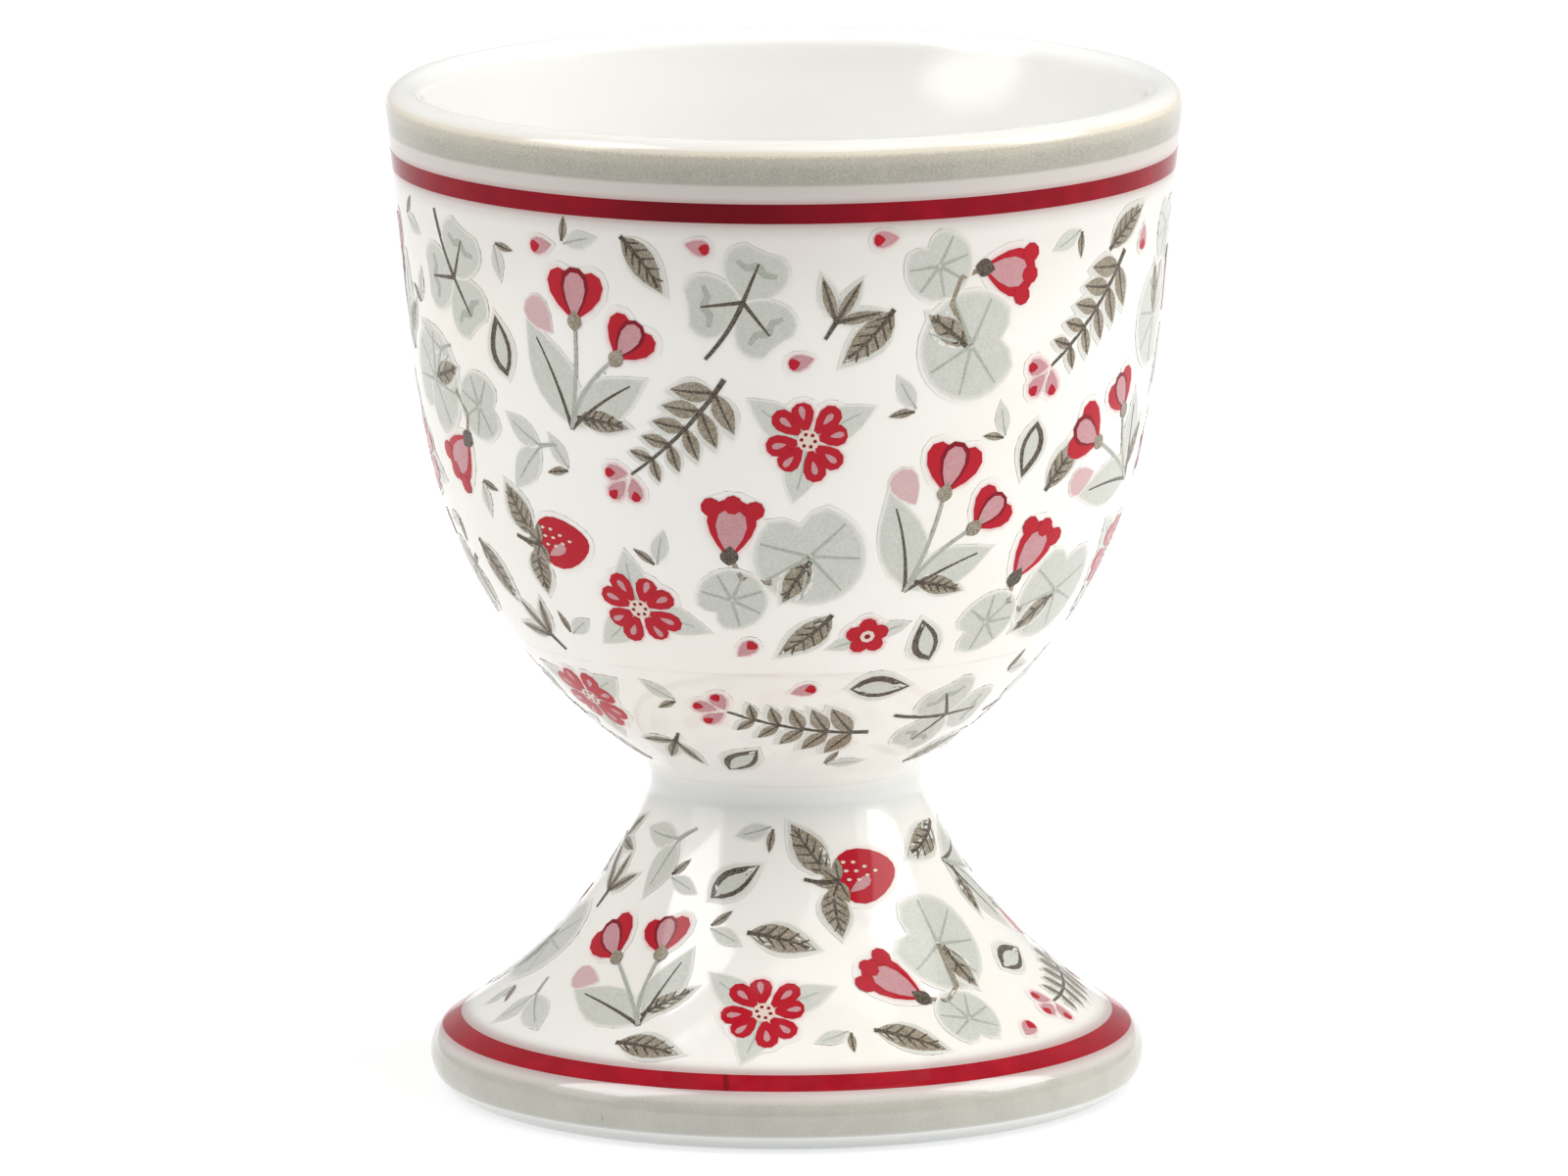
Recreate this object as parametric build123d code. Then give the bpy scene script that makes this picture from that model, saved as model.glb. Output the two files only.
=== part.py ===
from build123d import *
from math import atan2, cos, degrees, radians, sin, sqrt
import os

os.makedirs("parts", exist_ok=True)

# Footed porcelain egg cup: a bowl luted onto a hollow flared foot, dipped in glaze and dressed with
# printed transfers that sink flush into the glaze. Sizes are in millimetres, of the glazed cup.
# The origin is the centre of the foot on the table, with +Z up the cup's axis.

# Bowl
cup_height = 65.0
rim_diameter = 50.8
bowl_wall = 2.4            # also the width of the full-round lip
wall_lean = 6.0            # degrees that the upper wall opens outwards
wall_length = 15.3         # straight stretch below the lip
belly_radius = 68.0        # slow curve below the straight wall
belly_turn = 5.7           # degrees turned by that curve
floor_thickness = 3.6      # clay and glaze between the egg and the joint

# Waist, where the bowl sits on the foot
waist_height = 21.0
waist_diameter = 16.3      # where the bowl's curve and the foot's flare would cross
waist_fillet = 2.4
luting_thickness = 0.6

# Foot
foot_diameter = 45.8
foot_edge_radius = 2.3
foot_edge_slope = 31.0     # degrees above the table where the flare leaves the round edge
foot_wall = 3.0
dry_ring_width = 1.4       # bare clay that stands on the table
dry_ring_round = 0.5       # inner corner of the ring

# Glaze, and the printed colours that take up its outer part
transfer_thickness = 0.10
glaze_under_transfer = 0.15

# Places of the printed colours, down from the rim, about the waist and up from the table
rim_band_drop = 0.6
rim_band_height = 2.3
rim_gap = 1.0
rim_line_height = 1.25
rim_print_gap = 0.35
base_sheet_rise = 8.85     # edge between the wall sheet and the base sheet, above the waist
sheet_gap = 0.15           # bare glaze between those two sheets
collar_above = 1.0         # plain white collar each side of the joint
collar_below = 2.2
foot_band_lift = 1.1
foot_band_height = 2.35
foot_gap = 0.55
foot_line_height = 0.8
foot_print_gap = 0.3

# Values that follow from these
glaze_thickness = glaze_under_transfer + transfer_thickness
rim_radius = rim_diameter / 2
lip_radius = bowl_wall / 2
foot_radius = foot_diameter / 2
bowl_seat = waist_height + luting_thickness / 2
foot_seat = waist_height - luting_thickness / 2
floor_height = waist_height + floor_thickness
ring_outer = foot_radius - foot_edge_radius
ring_inner = ring_outer - dry_ring_width
reach = max(rim_radius, foot_radius)


def leaning_normal(lean):
    """Outward normal of a wall that opens outwards by an angle in degrees."""
    return Vector(cos(radians(lean)), -sin(radians(lean)))


def circle_from_tangent(start, normal, end):
    """Centre and radius of the circle through two points, square to a normal at the first."""
    chord = end - start
    radius = chord.dot(chord) / (2 * chord.dot(normal))
    return start + normal * radius, radius


def lower_crossing(first, first_radius, second, second_radius):
    """The lower of the two points where two circles cross."""
    line = second - first
    along = (line.dot(line) + first_radius**2 - second_radius**2) / (2 * line.length)
    across = sqrt(first_radius**2 - along**2)
    ahead = line.normalized()
    return first + ahead * along + Vector(ahead.Y, -ahead.X) * across


def arc_about(center, start, end):
    """The shorter arc about a centre from one point to another."""
    first = start - center
    last = end - center
    begin = degrees(atan2(first.Y, first.X))
    turn = (degrees(atan2(last.Y, last.X)) - begin + 180) % 360 - 180
    return CenterArc(center, first.length, begin, turn)


# Centres of the section's arcs, with the radius from the axis along X and the height along Y.
# The wall runs from the lip through the shoulder and the belly to the waist.
wall_normal = leaning_normal(wall_lean)
belly_normal = leaning_normal(wall_lean + belly_turn)
wall_down = Vector(wall_normal.Y, -wall_normal.X)
lip_center = Vector(rim_radius - lip_radius, cup_height - lip_radius)
shoulder = lip_center + wall_normal * lip_radius + wall_down * wall_length
belly_center = shoulder - wall_normal * belly_radius
belly = belly_center + belly_normal * belly_radius
waist = Vector(waist_diameter / 2, waist_height)
base_center, base_radius = circle_from_tangent(belly, -belly_normal, waist)

# The egg's hollow keeps the wall's thickness down to the belly. Two arcs of equal tangents then
# take it round to a level floor on the axis.
hollow_side = belly - belly_normal * bowl_wall
hollow_floor = Vector(0, floor_height)
side_down = Vector(belly_normal.Y, -belly_normal.X)
floor_inward = Vector(-1, 0)
span = hollow_floor - hollow_side
fall = span.dot(side_down + floor_inward)
spread = 2 * (1 - side_down.dot(floor_inward))
tangent_length = (sqrt(fall**2 + spread * span.dot(span)) - fall) / spread
hollow_joint = (hollow_side + hollow_floor + (side_down - floor_inward) * tangent_length) * 0.5
hollow_center, _ = circle_from_tangent(hollow_side, -belly_normal, hollow_joint)
well_center, _ = circle_from_tangent(hollow_floor, Vector(0, 1), hollow_joint)
joint_direction = (hollow_joint - well_center).normalized()

# The flare runs from the round edge of the foot to the fillet at the waist
edge_center = Vector(ring_outer, foot_edge_radius)
edge_normal = Vector(sin(radians(foot_edge_slope)), cos(radians(foot_edge_slope)))
flare_start = edge_center + edge_normal * foot_edge_radius
flare_center, flare_radius = circle_from_tangent(flare_start, edge_normal, waist)
fillet_center = lower_crossing(
    base_center, base_radius + waist_fillet, flare_center, flare_radius - waist_fillet
)
fillet_foot_side = (fillet_center - flare_center).normalized()
fillet_bowl_side = (fillet_center - base_center).normalized()


def outer_wall(inset):
    """Edges from the foot's round edge up to the lip, drawn in from the glazed surface."""
    edge_low = edge_center - Vector(0, foot_edge_radius - inset)
    edge_wide = edge_center + Vector(foot_edge_radius - inset, 0)
    edge_high = edge_center + edge_normal * (foot_edge_radius - inset)
    fillet_low = flare_center + fillet_foot_side * (flare_radius + inset)
    fillet_high = base_center + fillet_bowl_side * (base_radius - inset)
    belly_point = belly - belly_normal * inset
    shoulder_point = shoulder - wall_normal * inset
    lip_side = lip_center + wall_normal * (lip_radius - inset)
    lip_crest = lip_center + Vector(0, lip_radius - inset)
    return [
        arc_about(edge_center, edge_low, edge_wide),
        arc_about(edge_center, edge_wide, edge_high),
        arc_about(flare_center, edge_high, fillet_low),
        arc_about(fillet_center, fillet_low, fillet_high),
        arc_about(base_center, fillet_high, belly_point),
        arc_about(belly_center, belly_point, shoulder_point),
        Line(shoulder_point, lip_side),
        arc_about(lip_center, lip_side, lip_crest),
    ]


def egg_hollow(inset):
    """Edges from the lip down inside the bowl to its floor on the axis."""
    lip_crest = lip_center + Vector(0, lip_radius - inset)
    lip_side = lip_center - wall_normal * (lip_radius - inset)
    shoulder_point = shoulder - wall_normal * (bowl_wall - inset)
    belly_point = belly - belly_normal * (bowl_wall - inset)
    joint_point = hollow_joint + joint_direction * inset
    return [
        arc_about(lip_center, lip_crest, lip_side),
        Line(lip_side, shoulder_point),
        arc_about(belly_center, shoulder_point, belly_point),
        arc_about(hollow_center, belly_point, joint_point),
        arc_about(well_center, joint_point, Vector(0, floor_height - inset)),
    ]


def foot_well(inset):
    """Edges from the axis under the bowl, down inside the foot to the dry ring."""
    ceiling = bowl_seat - glaze_thickness + inset
    wall_radius = flare_radius + foot_wall - inset
    ring_side = ring_inner - dry_ring_round + inset
    ceiling_reach = flare_center.X - sqrt(wall_radius**2 - (flare_center.Y - ceiling) ** 2)
    ring_rise = flare_center.Y - sqrt(wall_radius**2 - (flare_center.X - ring_side) ** 2)
    round_center = Vector(ring_inner, dry_ring_round)
    round_start = Vector(ring_side, dry_ring_round)
    round_end = Vector(ring_inner, inset)
    return [
        Line((0, ceiling), (ceiling_reach, ceiling)),
        arc_about(flare_center, Vector(ceiling_reach, ceiling), Vector(ring_side, ring_rise)),
        Line((ring_side, ring_rise), round_start),
        arc_about(round_center, round_start, round_end),
    ]


def cup_section(inset):
    """Half section of the cup inside a coat as thick as the inset. The dry ring has no coat."""
    outer = outer_wall(inset)
    hollow = egg_hollow(inset)
    under = foot_well(inset)
    edges = outer + hollow + under
    edges.append(Line(hollow[-1] @ 1, under[0] @ 0))
    if inset > 0:
        edges.append(Line((ring_inner, inset), (ring_inner, 0)))
        edges.append(Line((ring_outer, 0), (ring_outer, inset)))
    edges.append(Line((ring_inner, 0), (ring_outer, 0)))
    return make_face(Curve() + edges)


def solid_outline(inset):
    """Half outline of the cup's outside, filled in to the axis."""
    outer = outer_wall(inset)
    low = outer[0] @ 0
    crest = outer[-1] @ 1
    outer.append(Polyline(crest, (0, crest.Y), (0, low.Y), low))
    return make_face(Curve() + outer)


def level_slice(low, high):
    """Rectangle from the axis to past the cup between two heights."""
    slab = Rectangle(2 * reach, high - low, align=(Align.MIN, Align.MIN))
    return Pos(0, low) * slab


# Clay and glaze. The dry ring parts the glaze into the cup's coat and the one under the foot.
clay = cup_section(glaze_thickness)
foot_well_coat, body_coat = (cup_section(0) - clay).faces().sort_by(SortBy.AREA)

# Printed colours: an even skin on the cup's outside, cut at the heights given above
print_skin = solid_outline(0) - solid_outline(transfer_thickness)
rim_band_top = cup_height - rim_band_drop
rim_band_bottom = rim_band_top - rim_band_height
rim_line_top = rim_band_bottom - rim_gap
rim_line_bottom = rim_line_top - rim_line_height
sheet_edge = waist_height + base_sheet_rise
foot_band_top = foot_band_lift + foot_band_height
foot_line_bottom = foot_band_top + foot_gap
foot_line_top = foot_line_bottom + foot_line_height

printed_heights = {
    "rim_band": (rim_band_bottom, rim_band_top),
    "rim_line": (rim_line_bottom, rim_line_top),
    "bowl_print": (sheet_edge + sheet_gap, rim_line_bottom - rim_print_gap),
    "bowl_base_print": (waist_height + collar_above, sheet_edge),
    "foot_print": (foot_line_top + foot_print_gap, waist_height - collar_below),
    "foot_line": (foot_line_bottom, foot_line_top),
    "foot_band": (foot_band_lift, foot_band_top),
}

sections = {
    "foot": clay & level_slice(0, foot_seat),
    "luting_slip": clay & level_slice(foot_seat, bowl_seat),
    "bowl": clay & level_slice(bowl_seat, cup_height),
    "foot_well_glaze": foot_well_coat,
}
for node, (low, high) in printed_heights.items():
    sections[node] = print_skin & level_slice(low, high)
    body_coat -= sections[node]
sections["body_glaze"] = body_coat

for node, section in sections.items():
    export_step(revolve(Plane.XZ * section, axis=Axis.Z), f"parts/{node}.step")
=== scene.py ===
import random
from bisect import bisect
from math import atan2, ceil, cos, pi, radians, sin, sqrt, tau

import bpy
from mathutils import Matrix, Vector
from mathutils.kdtree import KDTree


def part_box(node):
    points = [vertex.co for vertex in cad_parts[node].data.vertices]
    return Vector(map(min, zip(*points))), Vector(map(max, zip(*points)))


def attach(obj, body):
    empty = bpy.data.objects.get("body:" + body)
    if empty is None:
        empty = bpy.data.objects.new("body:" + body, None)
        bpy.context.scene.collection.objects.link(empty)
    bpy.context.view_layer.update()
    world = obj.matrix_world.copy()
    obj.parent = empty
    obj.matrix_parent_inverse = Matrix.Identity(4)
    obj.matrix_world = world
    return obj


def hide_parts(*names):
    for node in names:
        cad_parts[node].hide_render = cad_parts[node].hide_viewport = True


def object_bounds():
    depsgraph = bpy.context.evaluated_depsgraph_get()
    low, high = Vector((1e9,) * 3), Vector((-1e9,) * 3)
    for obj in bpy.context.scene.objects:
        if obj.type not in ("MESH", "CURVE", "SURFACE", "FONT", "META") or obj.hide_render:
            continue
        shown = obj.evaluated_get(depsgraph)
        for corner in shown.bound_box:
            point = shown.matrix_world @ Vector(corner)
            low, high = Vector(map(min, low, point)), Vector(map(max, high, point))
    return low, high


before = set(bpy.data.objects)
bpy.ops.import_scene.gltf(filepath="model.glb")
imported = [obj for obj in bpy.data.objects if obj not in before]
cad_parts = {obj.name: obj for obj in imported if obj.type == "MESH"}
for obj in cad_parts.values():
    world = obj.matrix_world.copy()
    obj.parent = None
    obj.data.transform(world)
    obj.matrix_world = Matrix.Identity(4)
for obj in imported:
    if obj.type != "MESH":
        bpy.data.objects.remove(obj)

cad_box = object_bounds()

# Clay body
# A bowl and a hollow trumpet foot of white porcelain clay, shaped in plaster moulds, sponged smooth
# and stuck together with liquid clay at the waist. Only the dry ring under the foot stays bare.
mm = 0.001
clay_white = (0.80, 0.77, 0.71, 1.0)
clay_shade = (0.66, 0.62, 0.55, 1.0)
grit_size = 0.35 * mm
grit_height = 0.02 * mm
patch_size = 4 * mm


class Bench:
    """Holds the one node tree that is being built."""

    tree = None


def add_node(kind, inputs=None, **settings):
    """Adds a node with its settings and inputs to the tree, and gives its outputs."""
    made = Bench.tree.nodes.new(kind)
    for name, value in settings.items():
        setattr(made, name, value)
    for socket, value in (inputs or {}).items():
        if isinstance(value, bpy.types.NodeSocket):
            Bench.tree.links.new(value, made.inputs[socket])
        else:
            made.inputs[socket].default_value = value
    return made.outputs


def noise(place, size, detail=3.0):
    """Cloudy value from 0 to 1 with blots of about that size."""
    return add_node("ShaderNodeTexNoise", {"Vector": place, "Scale": 1 / size, "Detail": detail})["Fac"]


def rise(value, low, high, bottom=0.0, top=1.0):
    """Goes smoothly from bottom to top as a value goes from low to high."""
    limits = {"Value": value, "From Min": low, "From Max": high, "To Min": bottom, "To Max": top}
    return add_node("ShaderNodeMapRange", limits, interpolation_type="SMOOTHSTEP")["Result"]


def figure(operation, first, second=0.0):
    return add_node("ShaderNodeMath", {0: first, 1: second}, operation=operation)[0]


def sum_of(first, second):
    return figure("ADD", first, second)


def product(first, second):
    return figure("MULTIPLY", first, second)


def mixed(share, first, second):
    """Colour between the first, at a share of 0, and the second, at 1."""
    return add_node("ShaderNodeMix", {0: share, 6: first, 7: second}, data_type="RGBA")[2]


def bump(height, distance, strength):
    """Normal of a surface whose small hills follow a value."""
    hills = {"Height": height, "Distance": distance, "Strength": strength}
    return add_node("ShaderNodeBump", hills)["Normal"]


def new_finish(name):
    """New material to be built, its surface shader and the place on the piece."""
    finish = bpy.data.materials.new(name)
    finish.use_nodes = True
    Bench.tree = finish.node_tree
    place = add_node("ShaderNodeTexCoord")["Object"]
    return finish, Bench.tree.nodes["Principled BSDF"], place


def drive(shader, socket, value):
    """Links a value or a colour to one of a shader's sockets."""
    Bench.tree.links.new(value, shader.inputs[socket])


biscuit, surface, place = new_finish("biscuit_clay")
surface.inputs["Specular IOR Level"].default_value = 0.25
grit = noise(place, grit_size)
patches = rise(noise(place, patch_size), 0.35, 0.7)
drive(surface, "Base Color", mixed(patches, clay_white, clay_shade))
drive(surface, "Roughness", rise(grit, 0.3, 0.7, 0.7, 0.9))
drive(surface, "Normal", bump(grit, grit_height, 0.6))
for node in ("foot", "luting_slip", "bowl"):
    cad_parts[node].data.materials.clear()
    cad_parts[node].data.materials.append(biscuit)

# Glaze on the cup
# The cup is dipped in clear glaze that fires to a glossy, slightly warm white skin. It gathers below
# the joint, where its blue-grey is partly painted shade under the bowl. Painted shade also greys the
# bottom of the foot's edge and darkens the glaze round the grey bands and red lines.
cup_height = cad_box[1].z
rim_radius = cad_box[1].x
bowl_wall = 2.4 * mm
wall_lean = radians(6.0)
wall_length = 15.3 * mm
belly_radius = 68.0 * mm
belly_turn = radians(5.7)
floor_thickness = 3.6 * mm
waist_height = 21.0 * mm
waist_radius = 8.15 * mm
waist_fillet = 2.4 * mm
foot_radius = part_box("foot_band")[1].x
foot_edge_radius = 2.3 * mm
foot_edge_slope = radians(31.0)
glaze_thickness = 0.25 * mm
wide_pitch = 0.8 * mm
tight_pitch = 0.2 * mm
sides_around = 240
hollow_white = (0.872, 0.865, 0.838, 1.0)
glaze_white = (0.885, 0.863, 0.818, 1.0)
glaze_cream = (0.872, 0.838, 0.772, 1.0)
# Blue-grey below the joint: partly glaze that gathers there, partly painted shade under the bowl.
glaze_pool_and_shade = (0.740, 0.755, 0.735, 1.0)
# Painted shade: grey at the bottom of the foot's edge, where it faces the table.
foot_edge_shade = (0.560, 0.580, 0.570, 1.0)
# Grey-brown painted shade round the bands and lines, also the colour of the faint seam lines.
shade_and_seam_grey = (0.590, 0.545, 0.512, 1.0)
band_cream = (0.800, 0.735, 0.610, 1.0)
rim_near_shade = 1.3 * mm
rim_wide_shade = 9.0 * mm
foot_gap_shade = 0.7 * mm
sheet_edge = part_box("bowl_base_print")[1].z
line_blush = (0.480, 0.310, 0.300, 1.0)
blush_reach = 0.45 * mm
crease_half = 0.15 * mm
pool_and_shade_depth = 3.5 * mm
pool_and_shade_top = 0.6 * mm
edge_shade_from = 0.3 * mm
edge_shade_to = 1.6 * mm
speck_brown = (0.30, 0.24, 0.18, 1.0)
speck_spacing = 9 * mm
ripple_size = 5 * mm
ripple_height = 0.006 * mm
haze_size = 1.5 * mm
cloud_size = 14 * mm
wear_size = 3 * mm


def leaning_normal(lean):
    return Vector((cos(lean), -sin(lean)))


def circle_from_tangent(start, normal, end):
    """Centre and radius of a circle through two points, with its normal at the first."""
    chord = end - start
    radius = chord.dot(chord) / (2 * chord.dot(normal))
    return start + normal * radius, radius


def lower_crossing(first, first_radius, second, second_radius):
    """The lower of the two points where two circles cross."""
    line = second - first
    along = (line.dot(line) + first_radius**2 - second_radius**2) / (2 * line.length)
    across = sqrt(first_radius**2 - along**2)
    ahead = line.normalized()
    return first + ahead * along + Vector((ahead.y, -ahead.x)) * across


def arc(center, start, end, pitch):
    """Points after the start along the shorter arc, at most a pitch apart."""
    first = start - center
    last = end - center
    begin = atan2(first.y, first.x)
    turn = (atan2(last.y, last.x) - begin + pi) % tau - pi
    count = ceil(abs(turn) * first.length / pitch)
    angles = [begin + turn * (i + 1) / count for i in range(count)]
    return [center + Vector((cos(a), sin(a))) * first.length for a in angles]


def straight(start, end, pitch):
    """Points after the start along a line, at most a pitch apart."""
    count = ceil((end - start).length / pitch)
    return [start.lerp(end, (i + 1) / count) for i in range(count)]


# Centres of the section's arcs: radius from the axis first, then height
wall_normal = leaning_normal(wall_lean)
belly_normal = leaning_normal(wall_lean + belly_turn)
wall_down = Vector((wall_normal.y, -wall_normal.x))
side_down = Vector((belly_normal.y, -belly_normal.x))
lip_radius = bowl_wall / 2
lip_center = Vector((rim_radius - lip_radius, cup_height - lip_radius))
shoulder = lip_center + wall_normal * lip_radius + wall_down * wall_length
belly_center = shoulder - wall_normal * belly_radius
belly = belly_center + belly_normal * belly_radius
waist = Vector((waist_radius, waist_height))
base_center, base_radius = circle_from_tangent(belly, -belly_normal, waist)
ring_outer = foot_radius - foot_edge_radius
edge_center = Vector((ring_outer, foot_edge_radius))
edge_normal = Vector((sin(foot_edge_slope), cos(foot_edge_slope)))
flare_start = edge_center + edge_normal * foot_edge_radius
flare_center, flare_radius = circle_from_tangent(flare_start, edge_normal, waist)
fillet_center = lower_crossing(
    base_center, base_radius + waist_fillet, flare_center, flare_radius - waist_fillet
)
fillet_foot_side = (fillet_center - flare_center).normalized()
fillet_bowl_side = (fillet_center - base_center).normalized()

# The hollow follows the wall to the belly, then two arcs of equal tangents close it on the axis
hollow_side = belly - belly_normal * bowl_wall
hollow_floor = Vector((0, waist_height + floor_thickness))
floor_inward = Vector((-1, 0))
span = hollow_floor - hollow_side
fall = span.dot(side_down + floor_inward)
spread = 2 * (1 - side_down.dot(floor_inward))
tangent_length = (sqrt(fall**2 + spread * span.dot(span)) - fall) / spread
hollow_joint = (hollow_side + hollow_floor + (side_down - floor_inward) * tangent_length) / 2
hollow_center, _ = circle_from_tangent(hollow_side, -belly_normal, hollow_joint)
well_center, _ = circle_from_tangent(hollow_floor, Vector((0, 1)), hollow_joint)
joint_direction = (hollow_joint - well_center).normalized()


def outside_line(inset=0.0):
    """Points from the dry ring up the outside to the lip's crest, drawn in by an inset."""
    edge_low = edge_center - Vector((0, foot_edge_radius - inset))
    edge_wide = edge_center + Vector((foot_edge_radius - inset, 0))
    edge_high = edge_center + edge_normal * (foot_edge_radius - inset)
    fillet_low = flare_center + fillet_foot_side * (flare_radius + inset)
    fillet_high = base_center + fillet_bowl_side * (base_radius - inset)
    belly_point = belly - belly_normal * inset
    shoulder_point = shoulder - wall_normal * inset
    lip_side = lip_center + wall_normal * (lip_radius - inset)
    lip_crest = lip_center + Vector((0, lip_radius - inset))
    line = [edge_low]
    line += arc(edge_center, edge_low, edge_wide, tight_pitch)
    line += arc(edge_center, edge_wide, edge_high, tight_pitch)
    line += arc(flare_center, edge_high, fillet_low, wide_pitch)
    line += arc(fillet_center, fillet_low, fillet_high, tight_pitch)
    line += arc(base_center, fillet_high, belly_point, wide_pitch)
    line += arc(belly_center, belly_point, shoulder_point, wide_pitch)
    line += straight(shoulder_point, lip_side, wide_pitch)
    return line + arc(lip_center, lip_side, lip_crest, tight_pitch)


def hollow_line(inset=0.0):
    """Points from the lip's crest down the hollow to its floor, drawn in by an inset."""
    lip_crest = lip_center + Vector((0, lip_radius - inset))
    lip_side = lip_center - wall_normal * (lip_radius - inset)
    shoulder_point = shoulder - wall_normal * (bowl_wall - inset)
    belly_point = belly - belly_normal * (bowl_wall - inset)
    joint_point = hollow_joint + joint_direction * inset
    line = [lip_crest]
    line += arc(lip_center, lip_crest, lip_side, tight_pitch)
    line += straight(lip_side, shoulder_point, wide_pitch)
    line += arc(belly_center, shoulder_point, belly_point, wide_pitch)
    line += arc(hollow_center, belly_point, joint_point, wide_pitch)
    return line + arc(well_center, joint_point, hollow_floor - Vector((0, inset)), wide_pitch)


def add_sockets(tree, geometry_in, **kinds):
    """Gives a geometry tree to be built its inputs and output, and returns the inputs."""
    Bench.tree = tree
    if geometry_in:
        tree.interface.new_socket("Geometry", in_out="INPUT", socket_type="NodeSocketGeometry")
    for name, kind in kinds.items():
        tree.interface.new_socket(name, in_out="INPUT", socket_type="NodeSocket" + kind)
    tree.interface.new_socket("Geometry", in_out="OUTPUT", socket_type="NodeSocketGeometry")
    return tree.nodes.new("NodeGroupInput").outputs


def whole_math(operation, first, second):
    return add_node("FunctionNodeIntegerMath", {0: first, 1: second}, operation=operation)[0]


def parts_of(vector):
    """The X, Y and Z of a vector."""
    return add_node("ShaderNodeSeparateXYZ", {0: vector})


def vector_of(x, y, z):
    return add_node("ShaderNodeCombineXYZ", {"X": x, "Y": y, "Z": z})[0]


def about_axis(angle, radius, height):
    """Place at a radius and a height, turned about the axis from the front."""
    sideways = product(radius, figure("SINE", angle))
    toward = product(radius, figure("COSINE", angle))
    return vector_of(sideways, product(toward, -1.0), height)


def end_tree(geometry, finish):
    """Ends a geometry tree: smooth, made real and given its finish."""
    for kind in ("GeometryNodeSetShadeSmooth", "GeometryNodeRealizeInstances"):
        geometry = add_node(kind, {"Geometry": geometry})[0]
    coated = add_node("GeometryNodeSetMaterial", {"Geometry": geometry, "Material": finish})
    add_node("NodeGroupOutput", {0: coated[0]})


# Turning: each point of the section becomes a ring about the axis
turning = bpy.data.node_groups.new("turn_on_wheel", "GeometryNodeTree")
given = add_sockets(turning, False, Section="Object", Sides="Int", Finish="Material")
section = add_node("GeometryNodeObjectInfo", {"Object": given["Section"]})["Geometry"]
counted = add_node("GeometryNodeAttributeDomainSize", {"Geometry": section}, component="CURVE")
rings = counted["Point Count"]
columns = whole_math("ADD", given["Sides"], 1)
sheet = add_node("GeometryNodeMeshGrid", {"Vertices X": columns, "Vertices Y": rings})
index = add_node("GeometryNodeInputIndex")[0]
ring = whole_math("MODULO", index, rings)
column = whole_math("DIVIDE_FLOOR", index, rings)
here = add_node("GeometryNodeInputPosition")[0]
wanted = {"Geometry": section, "Value": here, "Index": ring}
on_section = add_node("GeometryNodeSampleIndex", wanted, data_type="FLOAT_VECTOR")
from_axis = parts_of(on_section[0])
angle = product(column, figure("DIVIDE", tau, given["Sides"]))
spot = about_axis(angle, from_axis["X"], from_axis["Z"])
turned = add_node("GeometryNodeSetPosition", {"Geometry": sheet[0], "Position": spot})
sealed = add_node("GeometryNodeMergeByDistance", {"Geometry": turned[0], "Distance": 0.001 * mm})
end_tree(sealed[0], given["Finish"])


def in_scene(name, data):
    """New object in the scene."""
    made = bpy.data.objects.new(name, data)
    bpy.context.scene.collection.objects.link(made)
    return made


def section_curve(name, points):
    """Curve object through points of the half section."""
    curve = bpy.data.curves.new(name, "CURVE")
    curve.dimensions = "3D"
    spline = curve.splines.new("POLY")
    spline.points.add(len(points) - 1)
    for knot, point in zip(spline.points, points):
        knot.co = (point.x, 0, point.y, 1)
    return in_scene(name, curve)


def run_tree(piece, tree, **inputs):
    """Runs a geometry tree on a piece and keeps the result as its plain mesh."""
    modifier = piece.modifiers.new(tree.name, "NODES")
    modifier.node_group = tree
    for item in tree.interface.items_tree:
        if item.in_out == "INPUT" and item.name in inputs:
            modifier[item.identifier] = inputs[item.name]
    seen = bpy.context.evaluated_depsgraph_get()
    mesh = bpy.data.meshes.new_from_object(
        piece.evaluated_get(seen), preserve_all_data_layers=True, depsgraph=seen
    )
    mesh.name = piece.name
    piece.modifiers.remove(modifier)
    piece.data = mesh


def new_piece(name):
    """New empty mesh object in the scene."""
    return in_scene(name, bpy.data.meshes.new(name))


def turn(name, points, finish):
    """Turned piece with a section, smooth but for its corners."""
    profile = section_curve(name + "_section", points)
    piece = new_piece(name)
    run_tree(piece, turning, Section=profile, Sides=sides_around, Finish=finish)
    piece.data.set_sharp_from_angle(angle=radians(40))
    bpy.data.objects.remove(profile)
    return piece


def wears(piece, slot, *nodes):
    """Sets a piece in the place of its nodes. The slot is not used."""
    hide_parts(*nodes)
    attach(piece, "root")


def new_glazed(name, gloss=0.5):
    """New finish with the gloss and faint ripple of fired glaze."""
    finish, surface, place = new_finish(name)
    surface.inputs["IOR"].default_value = 1.52
    surface.inputs["Specular IOR Level"].default_value = gloss
    ripple = noise(place, ripple_size, 1.0)
    drive(surface, "Normal", bump(ripple, ripple_height, 1.0))
    drive(surface, "Roughness", rise(noise(place, haze_size), 0.3, 0.8, 0.05, 0.11))
    return finish, surface, place


def between(value, start, full, last, end):
    """Goes from 0 at the start to 1 when full, and after the last to 0 at the end."""
    return product(rise(value, start, full), rise(value, last, end, 1.0, 0.0))


def heights(node):
    """Lowest and highest point of a node of the frame."""
    return tuple(corner.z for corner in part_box(node))


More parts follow.
